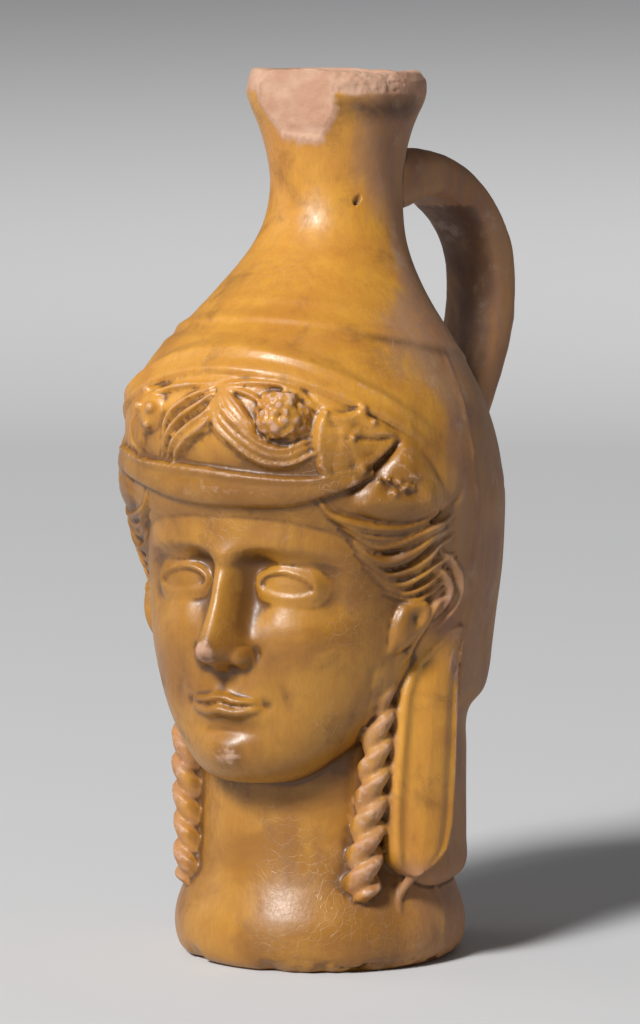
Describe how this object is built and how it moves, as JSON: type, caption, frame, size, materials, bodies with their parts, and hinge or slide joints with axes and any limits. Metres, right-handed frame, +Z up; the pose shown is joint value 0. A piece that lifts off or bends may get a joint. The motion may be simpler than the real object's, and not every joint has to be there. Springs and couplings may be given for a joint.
{
  "type": "head flask",
  "caption": "Mould-made glazed clay flask in the form of a wreathed woman's head, hollow and open at a narrow spout, with a strap handle behind.",
  "frame": {"origin": "centre of the flat underside of the foot", "axes": "+Z up along the spout, the face towards -Y, the handle behind towards +Y and turned a little to +X"},
  "size_m": [0.0818, 0.1074, 0.19],
  "materials": {
    "glazed_clay": "glossy amber lead glaze, worn to pinkish clay on the high points and the lip"
  },
  "bodies": {
    "root": {"head_flask": "glazed_clay"}
  },
  "joints": []
}
